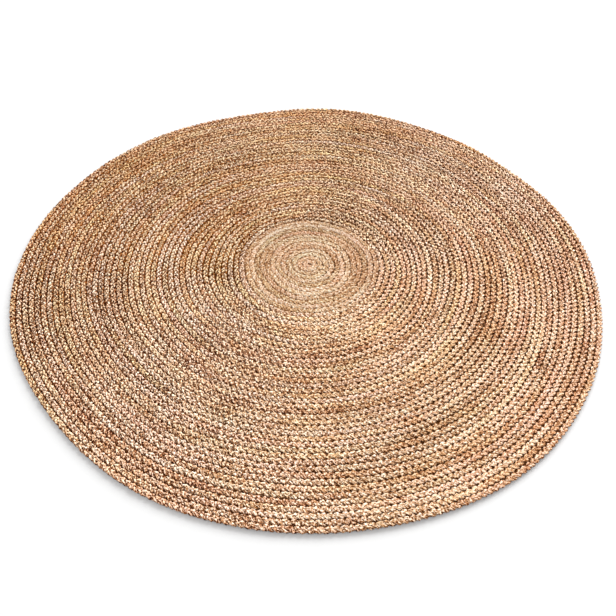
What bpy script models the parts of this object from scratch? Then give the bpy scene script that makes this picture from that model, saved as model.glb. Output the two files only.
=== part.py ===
# A round jute rug that lies flat. One flat plait of jute is coiled outward from the eye and
# sewn edge to edge, so the whole rug is one piece. Each turn of the plait is raised here as
# one low rib, with a seam to the next turn. Metres, +Z up, the floor at Z = 0, the rug
# centred on the Z axis.

from math import cos, pi, radians, sin

import bmesh
import bpy
from mathutils import Vector
from mathutils.geometry import delaunay_2d_cdt

# Driving dimensions, in metres unless they say otherwise.
RUG_RADIUS = 0.457          # half of a 3 ft rug, to the middle of its uneven rim
RUG_HEIGHT = 0.0095         # two crossing strands of the plait, pressed flat by the sewing
COIL_TURNS = 52
SEAM_DEPTH = 0.0020         # the seam between two turns, below the ribs' tops
EYE_DEPTH = 0.0010          # the dimple where the plait starts
EYE_START = 0.3             # turns of the plait from the centre to the first modelled rib
POINT_SPACING = 0.034       # along a rib, on the wide turns
FEWEST_POINTS_A_TURN = 16   # on the tight turns round the eye
RIM_POINTS = 96

# The plait thins out at its end and dies into the rim, at the far right of the rug.
TAIL_END = radians(35)      # where its tip meets the rim, anticlockwise from +X
TAIL_ARC = radians(45)      # how far round it thins
TAIL_RIB_STOP = 0.7         # share of the full width where its own rib ends
TAIL_SEAM_STOP = 0.5        # and where the seam beside it ends

SHARP_EDGE = radians(50)
SAME_PLACE = 1e-6           # points nearer than this would be merged
FINE_SHARE = 1e-4           # how closely a share of the tail is worked out

PLAIT_WIDTH = RUG_RADIUS / COIL_TURNS
COIL_ANGLE = 2 * pi * COIL_TURNS
FULL_TURN = 2 * pi

# Lines that run along the plait: name, place across it in widths from its middle, depth
# below the ribs' tops.
PLAIT_LINES = (
    ("rib", 0.0, 0.0),
    ("seam", 0.5, SEAM_DEPTH),
)

# The rim's rounded edge, from its shoulder down: name, inset in plait widths, share of height.
RIM_LOOPS = (
    ("shoulder", 0.20, 0.80),
    ("edge", 0.0, 0.45),
    ("underside of the edge", 0.18, 0.11),
    ("foot", 0.48, 0.0),
)

# Where the sewn rim pushes out or draws in: middle and half width in degrees
# anticlockwise from +X, and how far, in metres.
RIM_BULGES = (
    (35, 17, -0.0055),
    (81, 21, 0.0050),
    (109, 20, -0.0060),
    (180, 32, 0.0020),
    (222, 27, -0.0065),
    (305, 30, 0.0050),
    (350, 22, -0.0030),
)

JUTE_COLOUR = (0.76, 0.60, 0.43)    # sRGB
JUTE_ROUGHNESS = 0.9


def clear_scene():
    for thing in list(bpy.data.objects):
        bpy.data.objects.remove(thing, do_unlink=True)


def smooth_step(share):
    share = min(max(share, 0.0), 1.0)
    return share * share * (3 - 2 * share)


def width_share(coil_angle):
    """The plait's width at a coil angle, as a share of its full width: it thins at its tail."""
    return smooth_step((COIL_ANGLE - coil_angle) / TAIL_ARC)


def direction(coil_angle):
    """The direction from the eye, in which the plait lies: it winds outward clockwise."""
    return TAIL_END + COIL_ANGLE - coil_angle


def plain_radius(coil_angle, across):
    """The radius of a line on the even coil, across widths from the plait's middle."""
    inner_edge = PLAIT_WIDTH * (coil_angle / FULL_TURN - 0.5)
    return inner_edge + PLAIT_WIDTH * (across + 0.5) * width_share(coil_angle)


def plain_rim(towards):
    """The radius of the even coil's outermost edge in a direction."""
    before_tail = (towards - TAIL_END) % FULL_TURN
    return plain_radius(COIL_ANGLE - before_tail, 0.5)


def uneven_rim(towards):
    """The radius of the real rim in a direction."""
    radius = RUG_RADIUS
    for middle, half_width, push in RIM_BULGES:
        away = (towards - radians(middle) + pi) % FULL_TURN - pi
        share = min(abs(away) / radians(half_width), 1.0)
        radius += push * 0.5 * (1 + cos(pi * share))
    return radius


def sewn_radius(radius, towards):
    """Moves a radius on the even coil to where the sewing leaves it: most at the rim."""
    rim = plain_rim(towards)
    return radius + (uneven_rim(towards) - rim) * (radius / rim) ** 2


def flat_point(radius, towards):
    return Vector((radius * cos(towards), radius * sin(towards)))


def line_points(across, depth, last_angle):
    """The points of one line along the coiled plait, as (place on the floor, height)."""
    points = []
    coil_angle = max(0.0, FULL_TURN * (EYE_START - across))
    while coil_angle < last_angle:
        towards = direction(coil_angle)
        radius = plain_radius(coil_angle, across)
        thinned = 0.5 * (1 + width_share(coil_angle))
        height = RUG_HEIGHT * thinned - depth
        points.append((flat_point(sewn_radius(radius, towards), towards), height))
        coil_angle += min(POINT_SPACING / radius, FULL_TURN / FEWEST_POINTS_A_TURN)
    return points


def share_where_width_is(wanted):
    """The share of the tail, from its tip, where the plait has the wanted share of its width."""
    low, high = 0.0, 1.0
    while high - low > FINE_SHARE:
        middle = 0.5 * (low + high)
        if smooth_step(middle) < wanted:
            low = middle
        else:
            high = middle
    return high


def last_angle_of(name):
    """How far round the coil a line runs before it dies into the tail or the rim."""
    if name == "seam":
        return COIL_ANGLE - FULL_TURN - TAIL_ARC * share_where_width_is(TAIL_SEAM_STOP)
    return COIL_ANGLE - TAIL_ARC * share_where_width_is(TAIL_RIB_STOP)


def rim_loop(inset):
    """One loop round the rug, inset from its rim."""
    loop = []
    for i in range(RIM_POINTS):
        towards = FULL_TURN * i / RIM_POINTS
        loop.append(flat_point(uneven_rim(towards) - inset * PLAIT_WIDTH, towards))
    return loop


def box_middle(points):
    """The middle of the box round some points on the floor."""
    xs = [p.x for p in points]
    ys = [p.y for p in points]
    return Vector((0.5 * (min(xs) + max(xs)), 0.5 * (min(ys) + max(ys))))


def top_surface():
    """The ribbed top out to the rim's edge: points, heights, triangles and the edge's points."""
    places = [Vector((0.0, 0.0))]
    heights = [RUG_HEIGHT - EYE_DEPTH]
    lines = []
    for name, across, depth in PLAIT_LINES:
        points = line_points(across, depth, last_angle_of(name))
        first = len(places)
        places += [p for p, _ in points]
        heights += [z for _, z in points]
        lines += [(i, i + 1) for i in range(first, len(places) - 1)]

    for _, inset, height_share in RIM_LOOPS[:2]:
        first = len(places)
        places += rim_loop(inset)
        heights += [RUG_HEIGHT * height_share] * RIM_POINTS
        lines += [(first + i, first + (i + 1) % RIM_POINTS) for i in range(RIM_POINTS)]
    edge = list(range(len(places) - RIM_POINTS, len(places)))

    inside_the_edge = 1
    made = delaunay_2d_cdt(places, lines, [], inside_the_edge, SAME_PLACE)
    if len(made[0]) != len(places):
        raise ValueError("two lines of the plait cross each other")
    return places, heights, made[2], edge


def jute_material():
    material = bpy.data.materials.new("plaited_jute")
    material.use_nodes = True
    shader = material.node_tree.nodes["Principled BSDF"]
    linear = [c / 12.92 if c <= 0.04045 else ((c + 0.055) / 1.055) ** 2.4 for c in JUTE_COLOUR]
    shader.inputs["Base Color"].default_value = (*linear, 1.0)
    shader.inputs["Roughness"].default_value = JUTE_ROUGHNESS
    shader.inputs["Metallic"].default_value = 0.0
    return material


def make_rug():
    places, heights, triangles, edge = top_surface()
    middle = box_middle([places[i] for i in edge])

    bm = bmesh.new()
    verts = [bm.verts.new((*(p - middle), z)) for p, z in zip(places, heights)]
    for triangle in triangles:
        bm.faces.new([verts[i] for i in triangle])

    # The rounded edge turns under to the flat foot on the floor.
    above = [verts[i] for i in edge]
    for _, inset, height_share in RIM_LOOPS[2:]:
        height = RUG_HEIGHT * height_share
        below = [bm.verts.new((*(p - middle), height)) for p in rim_loop(inset)]
        for i in range(RIM_POINTS):
            j = (i + 1) % RIM_POINTS
            bm.faces.new((above[i], below[i], below[j], above[j]))
        above = below
    bm.faces.new(list(reversed(above)))
    bmesh.ops.recalc_face_normals(bm, faces=bm.faces)

    mesh = bpy.data.meshes.new("jute_rug")
    bm.to_mesh(mesh)
    bm.free()
    mesh.shade_smooth()
    mesh.set_sharp_from_angle(angle=SHARP_EDGE)

    rug = bpy.data.objects.new("jute_rug", mesh)
    rug.data.materials.append(jute_material())
    bpy.context.scene.collection.objects.link(rug)
    return rug


clear_scene()
make_rug()
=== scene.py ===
from math import cos, pi, radians, sin

import bpy
import numpy as np
from mathutils import Matrix, Vector


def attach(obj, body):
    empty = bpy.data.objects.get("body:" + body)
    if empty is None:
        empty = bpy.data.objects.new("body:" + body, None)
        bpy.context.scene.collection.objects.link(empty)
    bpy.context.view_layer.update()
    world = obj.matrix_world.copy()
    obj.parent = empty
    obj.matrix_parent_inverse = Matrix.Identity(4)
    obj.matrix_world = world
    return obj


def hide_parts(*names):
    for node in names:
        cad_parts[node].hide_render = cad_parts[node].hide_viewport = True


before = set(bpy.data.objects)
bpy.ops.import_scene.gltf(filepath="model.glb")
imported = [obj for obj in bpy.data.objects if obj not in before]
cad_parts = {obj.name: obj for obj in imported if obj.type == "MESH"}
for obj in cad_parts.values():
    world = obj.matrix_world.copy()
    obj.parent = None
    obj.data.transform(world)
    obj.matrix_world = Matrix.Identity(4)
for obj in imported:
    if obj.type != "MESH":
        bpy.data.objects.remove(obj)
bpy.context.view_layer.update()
fullTurn = 2 * pi
noiseValues = 4096      # in a run of smooth noise, before it repeats
patchValues = 64        # the same across the floor

# The rug is one flat plait of jute, coiled outward from the eye and sewn edge to edge.
rug = {
    "radius": 0.457,        # metres, to the middle of its uneven rim
    "height": 0.0095,
    "turns": 52,
    "tailEnd": radians(35),  # where the plait's tip dies into the rim, anticlockwise from +X
    "tailArc": radians(45),  # how far round it thins
    "eyeStart": -0.30,      # turns of the coil at which the plait starts, thin, in the eye
    "coilSteps": 60000,     # in the table of lengths along the coil
    "rimPoints": 96,        # round the solid, whose box is centred on the Z axis
    # where the sewn rim pushes out or draws in: middle and half width in degrees, metres
    "bulges": (
        (35, 17, -0.0055),
        (81, 21, 0.0050),
        (109, 20, -0.0060),
        (180, 32, 0.0020),
        (222, 27, -0.0065),
        (305, 30, 0.0050),
        (350, 22, -0.0030),
    ),
    # slow waves in the sewn rows: waves round the rug, waves from eye to rim, metres, phase
    "rowWaves": (
        (1, 1.0, 0.0016, 0.4),
        (2, 1.5, 0.0012, 2.1),
        (3, 2.5, 0.0009, 4.0),
        (5, 3.5, 0.0006, 1.3),
        (9, 5.0, 0.0004, 5.2),
    ),
    "calmEye": 1 / 6,       # share of the radius over which the waves start, from the eye
    "calmRim": 1 / 8,       # and over which they end, to the rim
}
plaitWidth = rug["radius"] / rug["turns"]
coilAngle = fullTurn * rug["turns"]


def smoothStep(share):
    share = np.clip(share, 0, 1)
    return share * share * (3 - 2 * share)


def wander(along, seed):
    # smooth noise from -1 to 1 along a length, with a new value each whole number
    table = np.random.default_rng(seed).uniform(-1, 1, noiseValues)
    step = np.floor(along).astype(int)
    values = table[step % noiseValues]
    return values + (table[(step + 1) % noiseValues] - values) * smoothStep(along - step)


def patches(x, y, size, seed):
    # smooth noise from -1 to 1 over the floor
    table = np.random.default_rng(seed).uniform(-1, 1, (patchValues, patchValues))
    u, v = x / size + patchValues / 2, y / size + patchValues / 2
    i, j = np.floor(u).astype(int), np.floor(v).astype(int)
    u, v = smoothStep(u - i), smoothStep(v - j)
    i, j, iNext, jNext = (k % patchValues for k in (i, j, i + 1, j + 1))
    low = table[i, j] * (1 - u) + table[iNext, j] * u
    high = table[i, jNext] * (1 - u) + table[iNext, jNext] * u
    return low * (1 - v) + high * v


def towardsAt(angle):
    return rug["tailEnd"] + coilAngle - angle  # the coil winds outward clockwise


def plaitEdges(angle):
    # inner edge and width of the plait on the even coil; it starts thin and thins at its tail
    inner = plaitWidth * (angle / fullTurn - 0.5)
    outer = inner + plaitWidth * smoothStep((coilAngle - angle) / rug["tailArc"])
    inner = np.maximum(inner, 0)
    return inner, outer - inner


def plainRim(towards):
    before = (towards - rug["tailEnd"]) % fullTurn
    inner, width = plaitEdges(coilAngle - before)
    return inner + width


def unevenRim(towards):
    radius = np.full_like(towards, rug["radius"])
    for middle, halfWidth, push in rug["bulges"]:
        away = (towards - radians(middle) + pi) % fullTurn - pi
        share = np.minimum(np.abs(away) / radians(halfWidth), 1)
        radius += push * 0.5 * (1 + np.cos(pi * share))
    return radius


def sewnRadius(radius, towards):
    # where the sewing leaves a radius of the even coil: moved most at the rim
    rim = plainRim(towards)
    share = radius / rim
    sewn = radius + (unevenRim(towards) - rim) * share ** 2
    wavy = smoothStep(share / rug["calmEye"]) * smoothStep((1 - share) / rug["calmRim"])
    for around, outward, push, phase in rug["rowWaves"]:
        sewn += push * wavy * np.sin(around * towards + outward * fullTurn * share + phase)
    return sewn


def boxMiddle():
    # the rug's box is centred on the Z axis, so the eye lies a little off it
    towards = np.linspace(0, fullTurn, rug["rimPoints"], endpoint=False)
    rim = unevenRim(towards)
    x, y = rim * np.cos(towards), rim * np.sin(towards)
    return np.array([x.min() + x.max(), y.min() + y.max()]) / 2


eyeOffset = -boxMiddle()


def onFloor(radius, towards):
    return radius * np.cos(towards) + eyeOffset[0], radius * np.sin(towards) + eyeOffset[1]


def linearColour(hexValue):
    channels = [int(hexValue[i:i + 2], 16) / 255 for i in (1, 3, 5)]
    return [c / 12.92 if c <= 0.04045 else ((c + 0.055) / 1.055) ** 2.4 for c in channels] + [1]


def addNode(tree, kind, settings=None, links=None):
    # one node with its settings, and its inputs: plain values, or sockets to link
    node = tree.nodes.new(kind)
    for name, value in (settings or {}).items():
        setattr(node, name, value)
    for name, value in (links or {}).items():
        socket = node.inputs[name]
        if isinstance(value, bpy.types.NodeSocket):
            tree.links.new(value, socket)
        else:
            socket.default_value = value
    return node


def newMaterial(name):
    material = bpy.data.materials.new(name)
    material.use_nodes = True
    tree = material.node_tree
    tree.nodes.clear()
    shader = addNode(tree, "ShaderNodeBsdfPrincipled")
    output = addNode(tree, "ShaderNodeOutputMaterial")
    tree.links.new(shader.outputs[0], output.inputs["Surface"])
    return material, tree, shader


def setRamp(node, stops):
    ramp = node.color_ramp
    while len(ramp.elements) < len(stops):
        ramp.elements.new(0.5)
    for element, (place, colour) in zip(ramp.elements, stops):
        element.position = place
        element.color = linearColour(colour)
    return node


# Raw jute, retted and loosely spun: dry, matt, with a faint silky sheen along its fibres. To
# the eye it is golden tan, with redder and browner stretches and pale straw-like fibres.
juteLook = {
    "toneStops": ((0.0, "#381401"), (0.20, "#6e3e11"), (0.38, "#a57c53"), (0.52, "#bf9f80"),
                  (0.66, "#cfb79e"), (0.82, "#dccab6"), (1.0, "#e6d7c6")),
    # multiplied in where the jute is redder, greyer, yellower and pinker
    "ginger": "#f0bc8c",
    "ash": "#deecec",
    "straw": "#fcf3bc",
    "rose": "#fce4f0",
    "hollowShadeTint": "#ba8048",    # and painted shade down between strands, browner as if lit only by other jute
    "hollowShade": 0.48,
    "strandGirth": 0.013,
    "fibreLength": 0.0024,
    "fibreWidth": 0.0022,   # real fibre bundles are 0.1 to 0.4 mm, drawn coarser so they show
    "fibreDetail": 0.6,
    "fibreRaggedness": 0.65,
    "fibreContrast": 3.5,
    "fibreDepth": 0.0006,
    "bundleScale": 0.4,     # broader bundles of fibres, longer and wider than a fibre
    "bundleContrast": 0.2,
    "plies": 3,             # round a strand
    "plyTwist": 0.022,      # metres of strand for a ply to go once round
    "plyShade": 0.09,
    "plyDepth": 0.0005,
    "plyBump": 0.6,
    "roughness": 0.72,
    "ior": 1.53,            # plant fibre
    "gloss": 0.16,          # its fibres shade one another, so less of the surface shines
}


def juteMaterial():
    look = juteLook
    material, tree, shader = newMaterial("retted_spun_jute")
    run = addNode(tree, "ShaderNodeUVMap", {"uv_map": "strandRun"})
    parts = addNode(tree, "ShaderNodeSeparateXYZ", None, {"Vector": run.outputs[0]})
    along, around = parts.outputs["X"], parts.outputs["Y"]
    tone, warmth, straw, rough, paintedShade = (
        addNode(tree, "ShaderNodeAttribute", {"attribute_name": name}).outputs["Fac"]
        for name in ("tone", "warmth", "straw", "rough", "paintedShade"))

    def maths(operation, *values):
        return addNode(tree, "ShaderNodeMath", {"operation": operation},
                       dict(enumerate(values))).outputs[0]

    # around counts from 0 to 1 and follows the plies, which wind round the strand
    plyWave = maths("COSINE", maths("MULTIPLY", around, fullTurn * look["plies"]))

    # fibres lie along the plies, in streaks and in broader bundles
    place = addNode(tree, "ShaderNodeCombineXYZ", None, {
        "X": maths("DIVIDE", along, look["fibreLength"]),
        "Y": maths("MULTIPLY", around, look["strandGirth"] / look["fibreWidth"]),
    }).outputs[0]

    def streaks(scale, detail):
        return addNode(tree, "ShaderNodeTexNoise", {"noise_dimensions": "2D"},
                       {"Vector": place, "Scale": scale, "Detail": detail,
                        "Roughness": look["fibreRaggedness"]}).outputs["Fac"]

    fibres = streaks(1.0, look["fibreDetail"])
    bundles = streaks(look["bundleScale"], 0.0)

    # tone: the stretch of jute, its fibres, painted shade in the grooves between plies and
    # painted light on their crests, and painted shade down between strands
    contrast = maths("MULTIPLY", rough, look["fibreContrast"])
    total = maths("MULTIPLY_ADD", maths("SUBTRACT", fibres, 0.5), contrast, tone)
    total = maths("MULTIPLY_ADD", maths("SUBTRACT", bundles, 0.5), look["bundleContrast"], total)
    total = maths("MULTIPLY_ADD", plyWave, look["plyShade"], total)
    total = maths("MULTIPLY_ADD", paintedShade, -look["hollowShade"], total)
    colour = setRamp(addNode(tree, "ShaderNodeValToRGB", None, {"Fac": total}),
                     look["toneStops"]).outputs["Color"]

    def tinted(below, amount, name):
        share = maths("MAXIMUM", amount, 0.0)
        return addNode(tree, "ShaderNodeMix", {"data_type": "RGBA", "blend_type": "MULTIPLY"},
                       {0: share, 6: below, 7: linearColour(look[name])}).outputs[2]

    colour = tinted(colour, warmth, "ginger")
    colour = tinted(colour, maths("MULTIPLY", warmth, -1.0), "ash")
    colour = tinted(colour, straw, "straw")
    colour = tinted(colour, maths("MULTIPLY", straw, -1.0), "rose")
    colour = tinted(colour, paintedShade, "hollowShadeTint")
    tree.links.new(colour, shader.inputs["Base Color"])

    plyBump = addNode(tree, "ShaderNodeBump", None,
                      {"Height": plyWave, "Strength": look["plyBump"],
                       "Distance": look["plyDepth"]})
    fibreBump = addNode(tree, "ShaderNodeBump", None,
                        {"Height": fibres, "Strength": rough, "Distance": look["fibreDepth"],
                         "Normal": plyBump.outputs[0]})
    tree.links.new(fibreBump.outputs[0], shader.inputs["Normal"])
    shader.inputs["Roughness"].default_value = look["roughness"]
    shader.inputs["IOR"].default_value = look["ior"]
    # it shines less where the painted shade lies
    gloss = maths("MULTIPLY_ADD", paintedShade, -look["gloss"], look["gloss"])
    tree.links.new(gloss, shader.inputs["Specular IOR Level"])
    return material


# The plait: three strands, each over and under the others.
plait = {
    "strands": 3,
    "period": 0.0264,       # metres of plait in which a strand crosses over and back
    "swing": 0.275,         # a strand's way out from the plait's middle, in plait widths
    "linger": 0.16,         # how much a strand keeps to the sides before it crosses
    "rise": 0.00184,        # its way up and down from mid height
    "lead": 0.25,           # how far the rise runs ahead of the swing, so seams are shallow
    "strandWidth": 0.0042,
    "strandThickness": 0.0046,
    "thinStrand": 0.35,     # the share of its girth and height left where the plait dies out
    "thinHeight": 0.45,
    "lowest": 0.0002,
    "ringsAPeriod": 10,
    "sides": 5,             # round a strand
    "ownTurn": 100 / 7,     # turns and metres by which each strand's fibres are moved on, so
    "ownRun": 90,           # that no two strands show the same ones
    "ownSeeds": 100,        # added to the seeds of the next strand
    "centreTurns": 12.6,    # the middle of the rug is pressed flatter and closer
    "centreFade": (2.2, -1.8),  # turns over which that ends, and what is added at the back
    "coarseTowards": radians(128),  # the way from the eye to where the jute is coarsest
    # how each measure changes where the plait is pressed, and where it is coarse
    "changes": {
        "stray": (0.0, 0.7),
        "rise": (-0.72, 0.12),
        "width": (0.38, -0.13),
        "thickness": (0.20, 0.0),
        "rough": (-0.72, 0.62),
        "paintedShade": (-0.80, 0.32),
    },
    # how the strands stray from an even plait: how much, over how many metres, seed, and
    # whether each strand has its own
    "strays": {
        "crossings": (0.13, 0.048, 7, False),       # along the plait, in periods
        "ownCrossings": (0.05, 0.015, 8, True),
        "sideways": (0.030, 0.0055, 1, True),       # in plait widths
        "slowSideways": (0.030, 0.13, 9, False),
        "rise": (0.00024, 0.012, 7, True),          # in metres
        "height": (0.0003, 0.0055, 2, True),
        "slowHeight": (0.0003, 0.07, 8, False),
        "width": (0.11, 0.0055, 3, True),           # the rest in shares
        "slowWidth": (0.06, 0.06, 4, True),
        "thickness": (0.08, 0.009, 5, True),
        "side": (0.06, 0.0035, 20, True),
        "seam": (0.5, 0.08, 10, False),
        "slowSeam": (0.7, 0.4, 12, False),
    },
}

# Painted shade: where the plait lies deep, its colour is darkened to stand in for the shade
# there.
paintedHollowShade = {
    "from": 0.0017,         # metres below its faces, where the shade between strands begins
    "coarseFrom": -0.0009,  # added to that where the jute is coarse
    "fade": 0.0022,         # metres over which the shade deepens
    "most": 0.75,
    "seam": 0.55,           # painted shade added in the seam between two turns
    "seamShadeSpread": 0.7,      # how much the painted seam shade grows and fades round the rug
    "seamShadeTowards": radians(120),   # the way from the eye to where the painted seam shade is strongest
    "seamFrom": 0.26,       # plait widths from its middle to where the seam's shade begins
    "seamScallop": 0.20,    # added to that where a strand swings out
    "seamCoarse": -0.03,    # and where the jute is coarse
    "seamFade": 0.11,
    "seamLeast": 0.1,
    "rimSeam": 0.7,         # least on the rim's outer side, which has no turn beside it
    "dip": 0.05,            # painted shade added where a strand dives under the others
    "coarseDip": 0.09,
    "dipFrom": 0.1,
    "dipFade": 0.8,
    "back": -0.22,          # share added at the back of the rug
}

# The jute's colour along the plait: tone is its place on the ramp of tones, warmth goes from
# ash to ginger and straw from rose to straw.
jute = {
    "plain": {"tone": 0.665, "warmth": 0.07, "straw": 0.04},
    "pressed": {"tone": -0.25, "warmth": -0.70, "straw": -0.28},  # added in the middle
    # lots spun one after another: what they change, how much, over how many metres, seed, and
    # whether each strand has its own
    "lots": (
        ("tone", 0.07, 0.18, 1901, False),
        ("tone", 0.025, 0.9, 1902, False),
        ("tone", 0.03, 0.12, 1000, True),
        ("warmth", 0.20, 0.22, 1904, False),
        ("warmth", 0.12, 0.03, 1912, False),
        ("warmth", 0.10, 0.10, 1006, True),
        ("straw", 0.25, 0.20, 1908, False),
        ("straw", 0.16, 0.026, 1913, False),
        ("straw", 0.08, 0.08, 1009, True),
    ),
    # patches of the floor: what they change, how much, how wide, seed
    "patches": (
        ("tone", 0.012, 0.05, 1903),
        ("tone", 0.015, 0.13, 1907),
        ("warmth", 0.06, 0.07, 1905),
        ("straw", 0.08, 0.10, 1909),
        ("straw", 0.06, 0.045, 1910),
    ),
    # short slubs: change of tone, change of warmth, share left in the pressed middle, how high
    # the noise has to be for one, metres, seed, and whether each strand has its own
    "slubs": (
        (-0.08, 0.14, 1, 0.55, 0.04, 1004, True),
        (-0.08, 0.14, 0, 0.76, 0.06, 1911, False),
        (0.06, -0.12, 1, 0.62, 0.05, 1005, True),
    ),
    "slubEdge": 0.2,
    "flecks": (0.060, 0.0045, 1001, True),      # how much, metres, seed, each its own
    "crossingTone": 0.060,  # each time a strand comes up it shows other fibres
    "crossingWarmth": 0.05,
    "crossingSeed": 1002,
    # change of the flecks' and crossings' contrast where the plait is pressed, from its fine
    # side to its coarse one, and once more on the coarse side
    "grain": (-0.65, 0.75, 0.6),
    "gingerShade": -0.10,   # redder jute is darker
    # from one side of the rug to the other, outside the pressed middle: what changes, how
    # much everywhere, how much on one side, the way from the eye to that side
    "slopes": (
        # the tone's slope is painted light: lighter at the back and left, darker at the front
        # and right
        ("tone", 0.0, 0.05, plait["coarseTowards"]),
        ("warmth", 0.01, 0.08, radians(21)),
        ("straw", 0.14, 0.20, radians(124)),
    ),
    "rimWarmth": (0.07, 0.72, 0.2),     # how much, share of the radius from, and over
    # at the back, where a turn is few pixels wide, whole turns show lighter and darker: how
    # much, metres, seed, and whether each strand has its own
    "backTones": (
        (0.17, 0.006, 1915, False),
        (0.05, 0.20, 1916, False),
    ),
    "stretchFade": (0.012, 8),  # share of the radius and degrees over which a stretch ends
    "areaFade": (0.04, 24),
}

# Stretches of other jute, where the maker spun in another lot: shares of the radius from and
# to, degrees anticlockwise from +X from and to, change of tone, change of warmth.
stretches = (
    (0.238, 0.250, 50, 150, 0.056, -0.040),
    (0.252, 0.262, 38, 162, -0.160, 0.080),
    (0.43, 0.53, 25, 75, -0.040, 0.020),
    (0.76, 0.80, 80, 112, -0.064, 0.100),
    (0.86, 0.885, 64, 79, -0.112, 0.060),
    (0.76, 0.86, 14, 40, -0.040, 0.100),
    (0.675, 0.70, 97, 135, -0.096, -0.020),
    (0.605, 0.63, 78, 100, -0.048, 0.140),
    (0.345, 0.38, 165, 200, -0.048, -0.048),
    (0.24, 0.27, 108, 142, 0.020, -0.040),
    (0.70, 0.82, 205, 250, -0.056, 0.088),
    (0.695, 0.72, 222, 236, -0.136, -0.020),
    (0.53, 0.57, 250, 285, -0.056, 0.088),
    (0.62, 0.645, 277, 301, -0.072, -0.020),
    (0.39, 0.42, 305, 345, -0.048, 0.040),
    (0.34, 0.37, 330, 390, -0.060, 0.100),
    (0.605, 0.635, 334, 356, -0.064, -0.040),
    (0.78, 0.81, 340, 356, -0.032, -0.080),
    (0.82, 0.85, 326, 336, -0.088, 0.120),
    (0.94, 1.00, 292, 335, -0.020, 0.100),
    (0.66, 0.74, 28, 52, -0.008, -0.080),
    (0.85, 1.00, 60, 122, -0.012, 0.072),
    (0.80, 1.00, 235, 292, 0.020, 0.008),
    (0.355, 0.375, 250, 285, -0.060, 0.020),
    (0.72, 0.80, 294, 316, -0.032, -0.040),
    (0.60, 0.72, 265, 330, 0.020, -0.024),
    (0.96, 1.00, 350, 420, -0.056, 0.128),
)

# The same for whole areas of the rug, which fade into one another. From a quarter of the radius
# out, their change of tone is painted light, lightening the sides that the lamps leave darker as
# the camera sees them and darkening those they leave lighter.
areas = (
    (0.13, 0.25, 60, 150, 0.05, -0.24),
    (0.12, 0.25, 190, 290, 0.04, 0.00),
    (0.12, 0.25, 335, 385, -0.05, 0.00),
    (0.26, 1.10, 50, 110, 0.08, 0.00),
    (0.26, 0.62, 160, 215, 0.18, 0.00),
    (0.26, 0.60, 95, 170, 0.14, 0.00),
    (0.50, 0.66, 345, 410, 0.04, 0.00),
    (0.26, 1.10, 85, 180, 0.22, 0.03),
    (0.30, 1.10, 160, 225, 0.04, 0.00),
    (0.30, 1.10, 245, 290, -0.07, -0.10),
    (0.26, 1.10, 280, 335, -0.06, -0.15),
    (0.26, 1.10, 325, 385, -0.06, 0.00),
)


def coilTable():
    angle = np.linspace(rug["eyeStart"] * fullTurn, coilAngle, rug["coilSteps"])
    inner, width = plaitEdges(angle)
    towards = towardsAt(angle)
    radius = sewnRadius(inner + width / 2, towards)
    x, y = onFloor(radius, towards)
    length = np.concatenate([[0], np.cumsum(np.hypot(np.diff(x), np.diff(y)))])
    return angle, length


coilAngles, coilLengths = coilTable()
plaitLength = coilLengths[-1]
print(f"plait: {plaitLength:.2f} m long, {1000 * plaitWidth:.1f} mm wide")


def alongPlait(at, metres, seed, own):
    # smooth noise along the plait, or along one strand where each has its own
    if own:
        seed += plait["ownSeeds"] * at["number"]
    return wander(at["length"] / metres, seed)


def strayed(at, name, side=0):
    amount, metres, seed, own = plait["strays"][name]
    return amount * alongPlait(at, metres, seed + side, own)


def changed(at, name):
    pressedChange, coarseChange = plait["changes"][name]
    return (1 + pressedChange * at["pressed"]) * (1 + coarseChange * at["coarse"])


def unit(vectors):
    return vectors / np.linalg.norm(vectors, axis=1)[:, None]


def strandCourse(number):
    # how one strand runs: for each ring along it, where it is and how the plait is made there
    share = np.arange(int(plaitLength / plait["period"]) * plait["ringsAPeriod"] + 1)
    share = share / plait["ringsAPeriod"]
    at = {"number": number, "length": share * plait["period"]}
    at["angle"] = np.interp(at["length"], coilLengths, coilAngles)
    at["towards"] = towardsAt(at["angle"])
    usual, atBack = plait["centreFade"]
    pastCentre = at["angle"] / fullTurn - plait["centreTurns"]
    at["pressed"] = 1 - smoothStep(pastCentre / (usual + atBack * np.sin(at["towards"])) + 0.5)
    at["coarse"] = (1 - at["pressed"]) * np.cos(at["towards"] - plait["coarseTowards"])
    at["back"] = (1 - at["pressed"]) * np.clip(np.sin(at["towards"]), 0, 1)

    stray = strayed(at, "crossings") + strayed(at, "ownCrossings")
    at["phase"] = fullTurn * (share + number / plait["strands"] + stray)
    across = plait["swing"] * (np.cos(at["phase"]) + plait["linger"] * np.cos(3 * at["phase"]))
    across += changed(at, "stray") * strayed(at, "sideways") + strayed(at, "slowSideways")
    at["across"] = across
    inner, width = plaitEdges(at["angle"])
    at["full"] = width / plaitWidth
    at["radius"] = sewnRadius(inner + (across + 0.5) * width, at["towards"])
    return at


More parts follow.
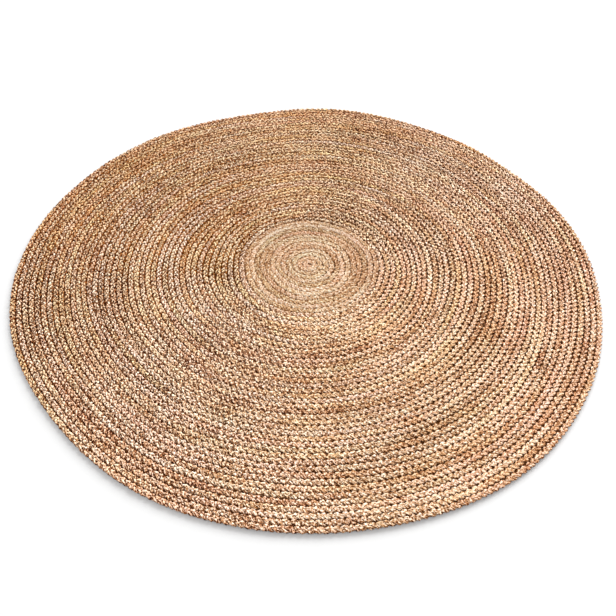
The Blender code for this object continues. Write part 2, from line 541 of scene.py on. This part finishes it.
def strandRings(number):
    # the whole of one strand: rings of points, metres along it, and the values that colour it
    at = strandCourse(number)
    x, y = onFloor(at["radius"], at["towards"])
    rise = (plait["rise"] + strayed(at, "rise")) * changed(at, "rise")
    lift = rise * np.sin(2 * at["phase"] + plait["lead"])
    lift += changed(at, "stray") * strayed(at, "height") + strayed(at, "slowHeight")
    thinned = plait["thinHeight"] + (1 - plait["thinHeight"]) * at["full"]
    middle = np.stack([x, y, (rug["height"] / 2 + lift) * thinned], -1)

    tangent = unit(np.gradient(middle, axis=0))
    side = unit(np.cross(tangent, (0, 0, 1)))
    up = np.cross(side, tangent)
    run = np.concatenate([[0], np.cumsum(np.linalg.norm(np.diff(middle, axis=0), axis=1))])

    # the lines along a strand's sides wind with its plies
    line = np.arange(plait["sides"])
    around = line[None, :] / plait["sides"] + run[:, None] / juteLook["plyTwist"]
    around = fullTurn * (around + plait["ownTurn"] * number)
    crest = 1 + np.stack([strayed(at, "side", k) for k in line], -1)

    thinned = plait["thinStrand"] + (1 - plait["thinStrand"]) * at["full"]
    fatness = 1 + changed(at, "stray") * strayed(at, "width") + strayed(at, "slowWidth")
    halfWidth = 0.5 * plait["strandWidth"] * thinned * fatness * changed(at, "width")
    fatness = 1 + strayed(at, "thickness")
    halfThickness = 0.5 * plait["strandThickness"] * thinned * fatness * changed(at, "thickness")
    out = halfWidth[:, None] * crest * np.sin(around)
    rings = (middle[:, None, :] + side[:, None, :] * out[:, :, None]
             + up[:, None, :] * (halfThickness[:, None] * crest * np.cos(around))[:, :, None])
    rings[:, :, 2] = np.maximum(rings[:, :, 2], plait["lowest"])

    tone, warmth, straw = strandColour(at)
    paintedShade = strandPaintedShade(at, rings[:, :, 2], at["across"][:, None] - out / plaitWidth)
    run = run + plait["ownRun"] * number
    return rings, run, tone, warmth, straw, changed(at, "rough"), paintedShade


def strandPaintedShade(at, height, fromMiddle):
    # painted shade at each point, from how deep it lies: between strands, in the seams and where
    # a strand dives under
    middleHeight = rug["height"] / 2
    fromFace = middleHeight - np.abs(height - middleHeight)
    hollowFrom = (paintedHollowShade["from"] + paintedHollowShade["coarseFrom"] * at["coarse"])[:, None]
    paintedShade = paintedHollowShade["most"] * smoothStep((fromFace - hollowFrom) / paintedHollowShade["fade"])

    seamShadeAround = 1 + paintedHollowShade["seamShadeSpread"] * np.cos(at["towards"] - paintedHollowShade["seamShadeTowards"])
    seam = paintedHollowShade["seam"] * seamShadeAround * (1 + strayed(at, "seam") + strayed(at, "slowSeam"))
    outside = (at["angle"] > coilAngle - fullTurn)[:, None] & (fromMiddle > 0)
    seam = np.where(outside, np.maximum(seam, paintedHollowShade["rimSeam"])[:, None], seam[:, None])
    seamFrom = paintedHollowShade["seamFrom"] + paintedHollowShade["seamScallop"] * np.cos(at["phase"]) ** 2
    seamFrom = (seamFrom + paintedHollowShade["seamCoarse"] * at["coarse"])[:, None]
    inSeam = smoothStep((np.abs(fromMiddle) - seamFrom) / paintedHollowShade["seamFade"])
    paintedShade = paintedShade + np.maximum(seam, paintedHollowShade["seamLeast"]) * inSeam

    height = np.sin(2 * at["phase"] + plait["lead"])
    under = smoothStep((paintedHollowShade["dipFrom"] - height) / paintedHollowShade["dipFade"])
    paintedShade = paintedShade + (under * (paintedHollowShade["dip"] + paintedHollowShade["coarseDip"] * at["coarse"]))[:, None]
    change = changed(at, "paintedShade") * (1 + paintedHollowShade["back"] * at["back"])
    return np.clip(paintedShade, 0, 1) * change[:, None]


def strandColour(at):
    x, y = onFloor(at["radius"], at["towards"])
    pressed, coarse, outer = at["pressed"], at["coarse"], 1 - at["pressed"]
    colour = {name: plain + jute["pressed"][name] * pressed
              for name, plain in jute["plain"].items()}
    for name, amount, *lot in jute["lots"]:
        colour[name] += amount * alongPlait(at, *lot)
    for name, amount, size, seed in jute["patches"]:
        colour[name] += amount * patches(x, y, size, seed)

    inPressed, toCoarse, inCoarse = jute["grain"]
    grain = 1 + inPressed * pressed + toCoarse * coarse + inCoarse * np.maximum(coarse, 0)
    crossing = np.floor(at["phase"] / pi + 0.5).astype(int) % noiseValues
    draws = np.random.default_rng(jute["crossingSeed"] + plait["ownSeeds"] * at["number"])
    lobes = draws.uniform(-1, 1, (noiseValues, 2))[crossing]
    fleckTone, *fleck = jute["flecks"]
    colour["tone"] += grain * (fleckTone * alongPlait(at, *fleck)
                               + jute["crossingTone"] * lobes[:, 0])
    colour["warmth"] += jute["crossingWarmth"] * lobes[:, 1]
    for addTone, addWarmth, leftPressed, above, *slub in jute["slubs"]:
        share = np.clip((alongPlait(at, *slub) - above) / jute["slubEdge"], 0, 1)
        share = share * (1 - (1 - leftPressed) * pressed)
        colour["tone"] += addTone * share
        colour["warmth"] += addWarmth * share
    colour["tone"] += jute["gingerShade"] * colour["warmth"]

    for name, everywhere, oneSide, side in jute["slopes"]:
        colour[name] += outer * (everywhere + oneSide * np.cos(at["towards"] - side))
    most, first, over = jute["rimWarmth"]
    colour["warmth"] += most * smoothStep((at["radius"] / rug["radius"] - first) / over)
    for amount, *lot in jute["backTones"]:
        colour["tone"] += at["back"] * amount * alongPlait(at, *lot)

    outward = at["angle"] / coilAngle
    degrees = np.degrees(at["towards"]) % 360
    for table, fade in ((stretches, "stretchFade"), (areas, "areaFade")):
        edge, turnEdge = jute[fade]
        for first, last, start, end, addTone, addWarmth in table:
            inTurns = smoothStep((outward - first) / edge + 0.5)
            inTurns = inTurns * smoothStep((last - outward) / edge + 0.5)
            away = np.abs((degrees - (start + end) / 2 + 180) % 360 - 180)
            share = inTurns * smoothStep(((end - start) / 2 - away) / turnEdge + 0.5)
            colour["tone"] += addTone * share
            colour["warmth"] += addWarmth * share
    return colour["tone"], colour["warmth"], colour["straw"]


def closedTubes(name, strands):
    # joins tubes into one mesh with capped ends; each has rings, run and the named values
    points, corners, starts, uv = [], [], [], []
    values = {"tone": [], "warmth": [], "straw": [], "rough": [], "paintedShade": []}
    sides = plait["sides"]
    girth = np.arange(sides + 1) / sides
    first, cornersSoFar = 0, 0
    for rings, run, *given in strands:
        count = len(rings)
        points.append(rings.reshape(-1, 3))
        for valueName, value in zip(values, given):
            value = value if value.ndim == 2 else value[:, None]
            values[valueName].append(np.broadcast_to(value, (count, sides)).reshape(-1))
        ring = np.arange(count - 1)[:, None] * sides
        here = np.arange(sides)[None, :]
        there = (here + 1) % sides
        after = ring + sides
        quads = np.stack([ring + here, ring + there, after + there, after + here], -1)
        corners.append(first + quads.reshape(-1))
        starts.append(cornersSoFar + 4 * np.arange(quads.shape[0] * sides))
        cornersSoFar += quads.size
        low = np.repeat(run[:-1], sides).reshape(-1, sides)
        high = np.repeat(run[1:], sides).reshape(-1, sides)
        left = np.broadcast_to(girth[:-1], low.shape)
        right = np.broadcast_to(girth[1:], low.shape)
        uv.append(np.stack([low, left, low, right, high, right, high, left], -1).reshape(-1))
        for cap, end in ((here[0, ::-1], 0), (here[0] + (count - 1) * sides, -1)):
            corners.append(first + cap)
            starts.append(np.array([cornersSoFar]))
            cornersSoFar += sides
            uv.append(np.stack([np.full(sides, run[end]), girth[:-1]], -1).reshape(-1))
        first += count * sides

    mesh = bpy.data.meshes.new(name)
    points = np.concatenate(points).astype(np.float32)
    corners = np.concatenate(corners).astype(np.int32)
    starts = np.concatenate(starts).astype(np.int32)
    mesh.vertices.add(len(points))
    mesh.vertices.foreach_set("co", points.reshape(-1))
    mesh.loops.add(len(corners))
    mesh.loops.foreach_set("vertex_index", corners)
    mesh.polygons.add(len(starts))
    mesh.polygons.foreach_set("loop_start", starts)
    mesh.update(calc_edges=True)
    layer = mesh.uv_layers.new(name="strandRun")
    layer.data.foreach_set("uv", np.concatenate(uv).astype(np.float32))
    for valueName, parts in values.items():
        attribute = mesh.attributes.new(valueName, "FLOAT", "POINT")
        attribute.data.foreach_set("value", np.concatenate(parts).astype(np.float32))
    mesh.shade_smooth()
    return mesh


def asPiece(name, mesh, material):
    piece = bpy.data.objects.new(name, mesh)
    bpy.context.scene.collection.objects.link(piece)
    piece.data.materials.append(material)
    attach(piece, "root")
    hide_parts("jute_rug")
    return piece


def makeStrands(material):
    names = ("plait_at_the_eye", "plait_inner_turns", "plait_middle_turns",
             "plait_outer_turns", "plait_rim_turns")
    strands = [strandRings(number) for number in range(plait["strands"])]
    pieces = []
    for i, name in enumerate(names):
        parts = []
        for strand in strands:
            most = len(strand[0]) - 1
            first = int(round(i / len(names) * most))
            last = int(round((i + 1) / len(names) * most)) + 1
            parts.append([column[first:last] for column in strand])
        mesh = closedTubes(name, parts)
        pieces.append(asPiece(name, mesh, material))
        print(f"{name}: {sum(len(p.vertices) - 2 for p in mesh.polygons)} triangles")
    return pieces


# The bed: jute fibre packed between the strands, painted dark as shade where it shows between
# them.
bed = {
    "top": 0.0038,
    "bottom": 0.0008,
    "inset": 0.0030,        # from the rim
    "lumps": 0.0005,
    "lumpsATurn": 18,       # on the first ring, with as many more on each ring after it
    "lumpSeed": 300,
    "rings": 54,
    "bottomRings": 4,
    "spokes": 180,
    "edge": ((0.0009, -0.0012), (0.0, -0.0030)),    # out and down, from the top
    "bottomInset": 0.0012,
}

# Loose jute fibre deep between the strands: the same jute, matt, painted browner and darker as
# shade, as little light reaches it.
bedShadeLook = {
    "toneStops": ((0.3, "#2c1404"), (0.7, "#5c3412")),
    "fibresAMetre": 900.0,  # real ones are finer, drawn coarser so they show
    "fibreDetail": 3.0,
    "fibreRaggedness": 0.65,
    "fibreBump": 0.8,
    "fibreDepth": 0.0006,
    "roughness": 0.9,
    "gloss": 0.05,
}


def makeBed(material):
    towards = np.linspace(0, fullTurn, bed["spokes"], endpoint=False)
    rim = unevenRim(towards) - bed["inset"]
    x0, y0 = (float(value) for value in onFloor(0, 0))
    points = [(x0, y0, bed["top"])]

    def addRing(radius, height):
        x, y = onFloor(radius, towards)
        points.extend(zip(x, y, np.broadcast_to(height, x.shape)))

    for i in range(1, bed["rings"] + 1):
        lump = wander(towards / fullTurn * bed["lumpsATurn"] * i, bed["lumpSeed"] + i)
        addRing(rim * i / bed["rings"], bed["top"] + bed["lumps"] * lump)
    for out, down in bed["edge"]:
        addRing(rim + out, bed["top"] + down)
    for i in range(bed["bottomRings"]):
        addRing(rim * (1 - i / bed["bottomRings"]) - bed["bottomInset"], bed["bottom"])
    points.append((x0, y0, bed["bottom"]))

    spokes = bed["spokes"]
    loops = bed["rings"] + len(bed["edge"]) + bed["bottomRings"]
    faces = [(0, 1 + j, 1 + (j + 1) % spokes) for j in range(spokes)]
    for i in range(loops - 1):
        a, b = 1 + i * spokes, 1 + (i + 1) * spokes
        faces += [(a + j, b + j, b + (j + 1) % spokes, a + (j + 1) % spokes)
                  for j in range(spokes)]
    a, last = 1 + (loops - 1) * spokes, len(points) - 1
    faces += [(a + j, last, a + (j + 1) % spokes) for j in range(spokes)]
    mesh = bpy.data.meshes.new("jute_bed_painted_shade")
    mesh.from_pydata(points, [], faces)
    mesh.shade_smooth()
    return asPiece("jute_bed_painted_shade", mesh, material)


def bedMaterial():
    look = bedShadeLook
    material, tree, shader = newMaterial("loose_jute_fibre_painted_shade")
    place = addNode(tree, "ShaderNodeTexCoord").outputs["Object"]
    fibres = addNode(tree, "ShaderNodeTexNoise", None,
                     {"Vector": place, "Scale": look["fibresAMetre"],
                      "Detail": look["fibreDetail"],
                      "Roughness": look["fibreRaggedness"]}).outputs["Fac"]
    colour = setRamp(addNode(tree, "ShaderNodeValToRGB", None, {"Fac": fibres}),
                     look["toneStops"]).outputs["Color"]
    tree.links.new(colour, shader.inputs["Base Color"])
    bump = addNode(tree, "ShaderNodeBump", None,
                   {"Height": fibres, "Strength": look["fibreBump"],
                    "Distance": look["fibreDepth"]})
    tree.links.new(bump.outputs[0], shader.inputs["Normal"])
    shader.inputs["Roughness"].default_value = look["roughness"]
    shader.inputs["Specular IOR Level"].default_value = look["gloss"]
    return material


# The studio: a white floor, a wide lamp at the far right and the photograph's camera.
studio = {
    "floorSize": 9.0,
    "floorColour": "#a9a9a9",   # under these lamps it comes out white
    "floorRoughness": 0.9,
    "skyColour": "#ffffff",
    "skyStrength": 1.24,
    "lampPower": 497,
    "lampHeight": radians(41),
    "lampTowards": radians(58),
    "fillPower": 132,       # a weaker lamp on the camera's side, so the rug's sides aren't black
    "fillHeight": radians(55),
    "fillTowards": radians(262),
    "lampDistance": 5.0,    # both lamps, from the middle of the floor
    "lampWidth": 4.8,       # wide, so its shadows are soft
}

camera = {
    "pictureWidth": 616,    # pixels
    "focalPixels": 735,
    "sensor": 36.0,
    "place": (-0.0097, -0.8551, 0.8114),  # from the rug's eye
    "tiltDown": radians(46.65),
    "turnLeft": radians(-0.69),
    "roll": radians(1.22),
    "clip": (0.01, 50),
}


def makeStudio():
    mesh = bpy.data.meshes.new("floor")
    half = studio["floorSize"] / 2
    mesh.from_pydata([(-half, -half, 0), (half, -half, 0), (half, half, 0), (-half, half, 0)],
                     [], [(0, 1, 2, 3)])
    floor = bpy.data.objects.new("floor", mesh)
    bpy.context.scene.collection.objects.link(floor)
    material, tree, shader = newMaterial("white_studio_paper")  # smooth and matt, even in tone
    shader.inputs["Base Color"].default_value = linearColour(studio["floorColour"])
    shader.inputs["Roughness"].default_value = studio["floorRoughness"]
    floor.data.materials.append(material)

    world = bpy.data.worlds.new("studio")
    world.use_nodes = True
    sky = world.node_tree.nodes["Background"]
    sky.inputs["Color"].default_value = linearColour(studio["skyColour"])
    sky.inputs["Strength"].default_value = studio["skyStrength"]
    bpy.context.scene.world = world

    for name in ("lamp", "fill"):
        light = bpy.data.lights.new(name, "AREA")
        light.shape = "DISK"
        light.size = studio["lampWidth"]
        light.energy = studio[name + "Power"]
        lamp = bpy.data.objects.new(name, light)
        height, towards = studio[name + "Height"], studio[name + "Towards"]
        fromPlace = Vector((cos(height) * cos(towards), cos(height) * sin(towards), sin(height)))
        lamp.location = fromPlace * studio["lampDistance"]
        lamp.rotation_euler = (-fromPlace).to_track_quat("-Z", "Y").to_euler()
        bpy.context.scene.collection.objects.link(lamp)


def makeCamera():
    data = bpy.data.cameras.new("camera")
    data.sensor_width = camera["sensor"]
    data.lens = camera["focalPixels"] / camera["pictureWidth"] * camera["sensor"]
    data.clip_start, data.clip_end = camera["clip"]
    seen = bpy.data.objects.new("camera", data)
    tilt, turn, roll = camera["tiltDown"], camera["turnLeft"], camera["roll"]
    forward = Vector((-sin(turn) * cos(tilt), cos(turn) * cos(tilt), -sin(tilt)))
    right = Vector((cos(turn), sin(turn), 0))
    up = right.cross(forward)
    right, up = right * cos(roll) + up * sin(roll), up * cos(roll) - right * sin(roll)
    turned = Matrix((right, up, -forward)).transposed().to_4x4()
    x, y, z = camera["place"]
    seen.matrix_world = Matrix.Translation((x + eyeOffset[0], y + eyeOffset[1], z)) @ turned
    bpy.context.scene.collection.objects.link(seen)
    bpy.context.scene.camera = seen


makeCamera()
makeStudio()
bpy.context.scene.view_settings.view_transform = "Standard"
print("camera, floor and light placed")

strandPieces = makeStrands(juteMaterial())
bedPiece = makeBed(bedMaterial())
print("rug made")
